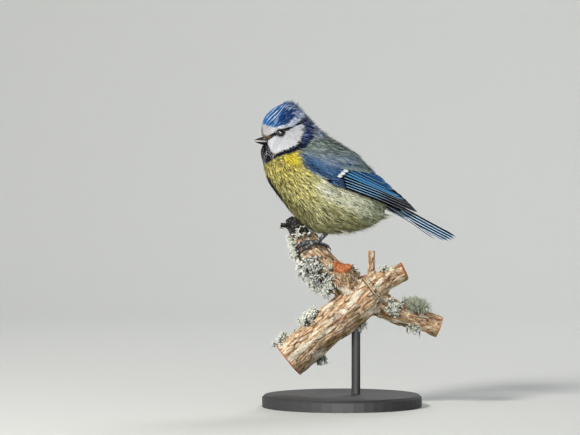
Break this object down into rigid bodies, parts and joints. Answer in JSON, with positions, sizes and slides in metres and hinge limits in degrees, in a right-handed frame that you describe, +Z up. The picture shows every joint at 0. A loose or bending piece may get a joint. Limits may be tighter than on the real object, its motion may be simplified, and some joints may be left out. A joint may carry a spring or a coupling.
{
  "type": "blue tit display model",
  "caption": "Life-size still model of a perched blue tit gripping a cut length of lichened branch, held on a disc base by one short rod.",
  "frame": {"origin": "centre of the stand's underside", "axes": "+Z up; the bird's bill points to -X and its left side faces -Y"},
  "size_m": [0.1014, 0.08, 0.1527],
  "materials": {
    "plumage_head": "matte",
    "plumage_body": "matte",
    "flight_feathers": "satin",
    "bill": "satin",
    "eye": "gloss",
    "leg": "satin",
    "claw": "satin",
    "bark": "matte",
    "lichen": "matte",
    "stand": "satin"
  },
  "bodies": {
    "root": {"head": "plumage_head", "neck": "plumage_head", "torso": "plumage_body", "bill_upper": "bill", "bill_lower": "bill", "eye_left": "eye", "eye_right": "eye", "wing_left": "flight_feathers", "wing_right": "flight_feathers", "tail": "flight_feathers", "perch": "bark", "stand_base": "stand", "stand_rod": "stand", "leg_left": "leg", "foot_left": "leg", "claw_left_1": "claw", "claw_left_2": "claw", "claw_left_3": "claw", "claw_left_4": "claw", "leg_right": "leg", "foot_right": "leg", "claw_right_1": "claw", "claw_right_2": "claw", "claw_right_3": "claw", "claw_right_4": "claw", "perch_lichen_gripped_top": "lichen", "perch_lichen_gripped_low": "lichen", "perch_lichen_side": "lichen", "perch_lichen_main_top": "lichen", "perch_lichen_main_low": "lichen"}
  },
  "joints": []
}
